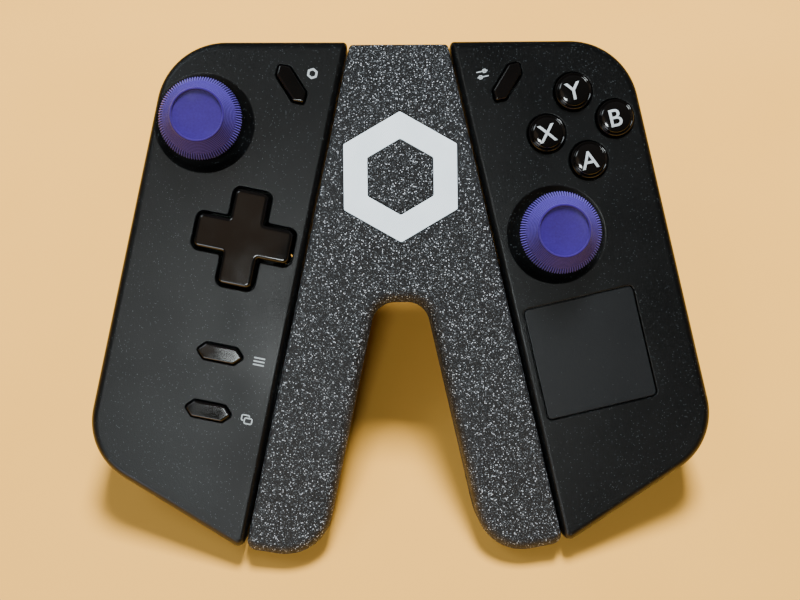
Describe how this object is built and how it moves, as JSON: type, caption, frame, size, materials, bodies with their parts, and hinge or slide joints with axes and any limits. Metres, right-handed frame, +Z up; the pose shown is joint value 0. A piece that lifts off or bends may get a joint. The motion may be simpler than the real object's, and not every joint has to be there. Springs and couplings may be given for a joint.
{
  "type": "game controllers on a bridge grip",
  "caption": "Two detachable handheld game controllers slid onto an A-shaped bridge grip that leans back on a table.",
  "frame": {"origin": "on the table, under the middle of the footprint box", "axes": "+X to the right across the front, +Y away from the viewer, +Z up"},
  "size_m": [0.1564, 0.1216, 0.0767],
  "materials": {
    "bridge_print": "matte printed plastic with fine light specks",
    "inlay_white": "satin",
    "cover_black": "fine metallic satin",
    "grip_black": "matte fine grain",
    "steel": "brushed",
    "board_green": "solder mask",
    "battery_foil": "foil",
    "motor_steel": "brushed",
    "inner_black": "matte",
    "stick_purple": "matte knurled",
    "rubber_grey": "matte",
    "pad_black": "smooth satin",
    "gloss_black": "high gloss",
    "button_black": "fine satin"
  },
  "bodies": {
    "bridge": {"bridge_frame": "bridge_print", "emblem_inlay": "inlay_white"},
    "left_controller": {"left_front_cover": "cover_black", "left_rear_shell": "grip_black", "left_rail": "steel", "left_circuit_board": "board_green", "left_battery": "battery_foil", "left_vibration_motor": "motor_steel", "left_screw_upper": "steel", "left_screw_lower": "steel", "left_stick_housing": "steel", "left_trigger_pin": "steel", "left_button_mat": "rubber_grey"},
    "left_yoke": {"left_stick_yoke": "inner_black"},
    "left_stem": {"left_stick_stem": "inner_black"},
    "left_cap": {"left_stick_cap": "stick_purple"},
    "left_bumper": {"left_bumper": "button_black"},
    "left_trigger": {"left_trigger": "button_black"},
    "left_release_button": {"left_release_button": "button_black"},
    "left_dpad_pivot": {"left_dpad_pivot": "steel"},
    "left_dpad": {"left_dpad": "gloss_black"},
    "left_shortcut_button": {"left_shortcut_button": "gloss_black"},
    "left_menu_button": {"left_menu_button": "gloss_black"},
    "left_view_button": {"left_view_button": "gloss_black"},
    "left_back_button_upper": {"left_back_button_upper": "button_black"},
    "left_back_button_lower": {"left_back_button_lower": "button_black"},
    "right_controller": {"right_front_cover": "cover_black", "right_rear_shell": "grip_black", "right_rail": "steel", "right_circuit_board": "board_green", "right_battery": "battery_foil", "right_vibration_motor": "motor_steel", "right_screw_upper": "steel", "right_screw_lower": "steel", "right_stick_housing": "steel", "right_trigger_pin": "steel", "right_button_mat": "rubber_grey", "right_trackpad": "pad_black", "right_scroll_axle": "steel"},
    "right_yoke": {"right_stick_yoke": "inner_black"},
    "right_stem": {"right_stick_stem": "inner_black"},
    "right_cap": {"right_stick_cap": "stick_purple"},
    "right_bumper": {"right_bumper": "button_black"},
    "right_trigger": {"right_trigger": "button_black"},
    "right_release_button": {"right_release_button": "button_black"},
    "right_button_a": {"right_button_a": "gloss_black"},
    "right_button_b": {"right_button_b": "gloss_black"},
    "right_button_x": {"right_button_x": "gloss_black"},
    "right_button_y": {"right_button_y": "gloss_black"},
    "right_settings_button": {"right_settings_button": "gloss_black"},
    "right_back_button": {"right_back_button": "button_black"},
    "right_scroll_wheel": {"right_scroll_wheel": "rubber_grey"}
  },
  "joints": [
    {"name": "left_controller_slide", "type": "slide", "parent": "bridge", "child": "left_controller", "axis": [0.2129, 0.8195, 0.5322], "range_m": [0, 0.055]},
    {"name": "left_stick_up_down", "type": "hinge", "parent": "left_controller", "child": "left_yoke", "pos_m": [-0.04894, 0.03449, 0.05681], "axis": [0.9771, -0.1785, -0.1159], "range_deg": [-12, 12], "stiffness_Nm_per_rad": 0.06},
    {"name": "left_stick_left_right", "type": "hinge", "parent": "left_yoke", "child": "left_stem", "pos_m": [-0.04894, 0.03449, 0.05681], "axis": [0.2129, 0.8195, 0.5322], "range_deg": [-12, 12], "stiffness_Nm_per_rad": 0.06},
    {"name": "left_stick_click", "type": "slide", "parent": "left_stem", "child": "left_cap", "axis": [0, 0.5446, -0.8387], "range_m": [0, 0.0003], "stiffness_N_per_m": 900, "springref_m": -0.001},
    {"name": "left_bumper_press", "type": "hinge", "parent": "left_controller", "child": "left_bumper", "pos_m": [-0.02247, 0.05188, 0.06417], "axis": [0, -0.5446, 0.8387], "range_deg": [0, 2], "stiffness_Nm_per_rad": 0.6, "springref_deg": -2.86},
    {"name": "left_trigger_pull", "type": "hinge", "parent": "left_controller", "child": "left_trigger", "pos_m": [-0.0418, 0.05369, 0.05032], "axis": [-0.9771, 0.1785, 0.1159], "range_deg": [0, 16], "stiffness_Nm_per_rad": 0.04, "springref_deg": -8.59},
    {"name": "left_release_button_press", "type": "slide", "parent": "left_controller", "child": "left_release_button", "axis": [0, -0.5446, 0.8387], "range_m": [0, 0.0008], "stiffness_N_per_m": 400, "springref_m": -0.0005},
    {"name": "left_dpad_up_down", "type": "hinge", "parent": "left_controller", "child": "left_dpad_pivot", "pos_m": [-0.03941, 0.00704, 0.04566], "axis": [0.9771, -0.1785, -0.1159], "range_deg": [-3.5, 3.5], "stiffness_Nm_per_rad": 0.3},
    {"name": "left_dpad_left_right", "type": "hinge", "parent": "left_dpad_pivot", "child": "left_dpad", "pos_m": [-0.03941, 0.00704, 0.04566], "axis": [0.2129, 0.8195, 0.5322], "range_deg": [-3.5, 3.5], "stiffness_Nm_per_rad": 0.3},
    {"name": "left_shortcut_button_press", "type": "slide", "parent": "left_controller", "child": "left_shortcut_button", "axis": [0, 0.5446, -0.8387], "range_m": [0, 0.0006], "stiffness_N_per_m": 400, "springref_m": -0.0005},
    {"name": "left_menu_button_press", "type": "slide", "parent": "left_controller", "child": "left_menu_button", "axis": [0, 0.5446, -0.8387], "range_m": [0, 0.0006], "stiffness_N_per_m": 400, "springref_m": -0.0005},
    {"name": "left_view_button_press", "type": "slide", "parent": "left_controller", "child": "left_view_button", "axis": [0, 0.5446, -0.8387], "range_m": [0, 0.0006], "stiffness_N_per_m": 400, "springref_m": -0.0005},
    {"name": "left_back_button_upper_press", "type": "slide", "parent": "left_controller", "child": "left_back_button_upper", "axis": [0, -0.5446, 0.8387], "range_m": [0, 0.0008], "stiffness_N_per_m": 400, "springref_m": -0.0005},
    {"name": "left_back_button_lower_press", "type": "slide", "parent": "left_controller", "child": "left_back_button_lower", "axis": [0, -0.5446, 0.8387], "range_m": [0, 0.0008], "stiffness_N_per_m": 400, "springref_m": -0.0005},
    {"name": "right_controller_slide", "type": "slide", "parent": "bridge", "child": "right_controller", "axis": [-0.2129, 0.8195, 0.5322], "range_m": [0, 0.055]},
    {"name": "right_stick_up_down", "type": "hinge", "parent": "right_controller", "child": "right_yoke", "pos_m": [0.03925, 0.01032, 0.04111], "axis": [0.9771, 0.1785, 0.1159], "range_deg": [-12, 12], "stiffness_Nm_per_rad": 0.06},
    {"name": "right_stick_left_right", "type": "hinge", "parent": "right_yoke", "child": "right_stem", "pos_m": [0.03925, 0.01032, 0.04111], "axis": [-0.2129, 0.8195, 0.5322], "range_deg": [-12, 12], "stiffness_Nm_per_rad": 0.06},
    {"name": "right_stick_click", "type": "slide", "parent": "right_stem", "child": "right_cap", "axis": [0, 0.5446, -0.8387], "range_m": [0, 0.0003], "stiffness_N_per_m": 900, "springref_m": -0.001},
    {"name": "right_bumper_press", "type": "hinge", "parent": "right_controller", "child": "right_bumper", "pos_m": [0.02247, 0.05188, 0.06417], "axis": [0, 0.5446, -0.8387], "range_deg": [0, 2], "stiffness_Nm_per_rad": 0.6, "springref_deg": -2.86},
    {"name": "right_trigger_pull", "type": "hinge", "parent": "right_controller", "child": "right_trigger", "pos_m": [0.0418, 0.05369, 0.05032], "axis": [-0.9771, -0.1785, -0.1159], "range_deg": [0, 16], "stiffness_Nm_per_rad": 0.04, "springref_deg": -8.59},
    {"name": "right_release_button_press", "type": "slide", "parent": "right_controller", "child": "right_release_button", "axis": [0, -0.5446, 0.8387], "range_m": [0, 0.0008], "stiffness_N_per_m": 400, "springref_m": -0.0005},
    {"name": "right_button_a_press", "type": "slide", "parent": "right_controller", "child": "right_button_a", "axis": [0, 0.5446, -0.8387], "range_m": [0, 0.0009], "stiffness_N_per_m": 400, "springref_m": -0.0005},
    {"name": "right_button_b_press", "type": "slide", "parent": "right_controller", "child": "right_button_b", "axis": [0, 0.5446, -0.8387], "range_m": [0, 0.0009], "stiffness_N_per_m": 400, "springref_m": -0.0005},
    {"name": "right_button_x_press", "type": "slide", "parent": "right_controller", "child": "right_button_x", "axis": [0, 0.5446, -0.8387], "range_m": [0, 0.0009], "stiffness_N_per_m": 400, "springref_m": -0.0005},
    {"name": "right_button_y_press", "type": "slide", "parent": "right_controller", "child": "right_button_y", "axis": [0, 0.5446, -0.8387], "range_m": [0, 0.0009], "stiffness_N_per_m": 400, "springref_m": -0.0005},
    {"name": "right_settings_button_press", "type": "slide", "parent": "right_controller", "child": "right_settings_button", "axis": [0, 0.5446, -0.8387], "range_m": [0, 0.0006], "stiffness_N_per_m": 400, "springref_m": -0.0005},
    {"name": "right_back_button_press", "type": "slide", "parent": "right_controller", "child": "right_back_button", "axis": [0, -0.5446, 0.8387], "range_m": [0, 0.0008], "stiffness_N_per_m": 400, "springref_m": -0.0005},
    {"name": "right_scroll_wheel_turn", "type": "hinge", "parent": "right_controller", "child": "right_scroll_wheel", "pos_m": [0.05134, 0.02294, 0.02069], "axis": [0.9771, 0.1785, 0.1159], "continuous": true}
  ]
}
